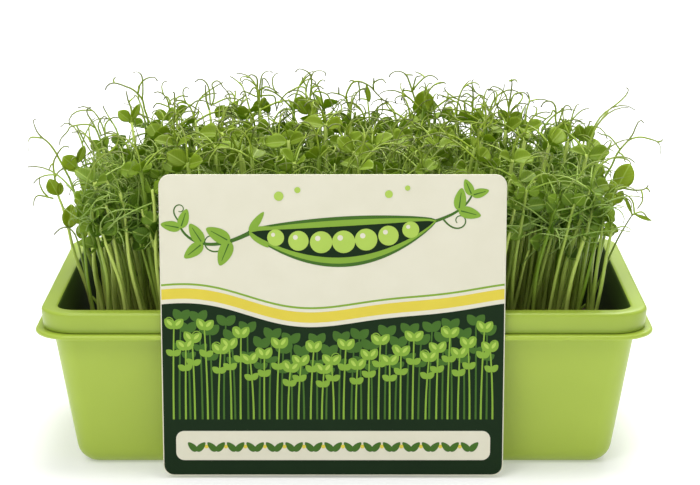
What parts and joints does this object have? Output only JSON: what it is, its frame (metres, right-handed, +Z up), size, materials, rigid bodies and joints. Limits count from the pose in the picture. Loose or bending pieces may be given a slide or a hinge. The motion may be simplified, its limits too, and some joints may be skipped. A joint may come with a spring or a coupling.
{
  "type": "pea shoot microgreens tray",
  "caption": "Living tray of pea shoots: a rectangular growing tray with a skirted rim, nested in a lipped water tray, with a card on its front.",
  "frame": {"origin": "on the surface that the tray stands on, under the middle of the trays", "axes": "+Z up, +X along the tray's long side, +Y to the back, so the card is on the -Y side"},
  "size_m": [0.3162, 0.1777, 0.1833],
  "materials": {
    "tray_plastic": "satin",
    "growing_mix": "matte",
    "card_paper": "satin",
    "pad_foam": "matte",
    "pea_green": "satin"
  },
  "bodies": {
    "root": {"water_tray": "tray_plastic", "grow_tray": "tray_plastic", "growing_mix": "growing_mix", "label_card": "card_paper", "card_pad_left": "pad_foam", "card_pad_right": "pad_foam", "pea_plant_01": "pea_green", "pea_plant_02": "pea_green", "pea_plant_03": "pea_green", "pea_plant_04": "pea_green", "pea_plant_05": "pea_green", "pea_plant_06": "pea_green", "pea_plant_07": "pea_green", "pea_plant_08": "pea_green", "pea_plant_09": "pea_green", "pea_plant_10": "pea_green", "pea_plant_11": "pea_green", "pea_plant_12": "pea_green", "pea_plant_13": "pea_green", "pea_plant_14": "pea_green", "pea_plant_15": "pea_green", "pea_plant_16": "pea_green", "pea_plant_17": "pea_green", "pea_plant_18": "pea_green", "pea_plant_19": "pea_green", "pea_plant_20": "pea_green", "pea_plant_21": "pea_green", "pea_plant_22": "pea_green", "pea_plant_23": "pea_green", "pea_plant_24": "pea_green", "pea_plant_25": "pea_green", "pea_plant_26": "pea_green", "pea_plant_27": "pea_green", "pea_plant_28": "pea_green", "pea_plant_29": "pea_green", "pea_plant_30": "pea_green", "pea_plant_31": "pea_green", "pea_plant_32": "pea_green", "pea_plant_33": "pea_green", "pea_plant_34": "pea_green", "pea_plant_35": "pea_green", "pea_plant_36": "pea_green", "pea_plant_37": "pea_green", "pea_plant_38": "pea_green", "pea_plant_39": "pea_green", "pea_plant_40": "pea_green"}
  },
  "joints": []
}
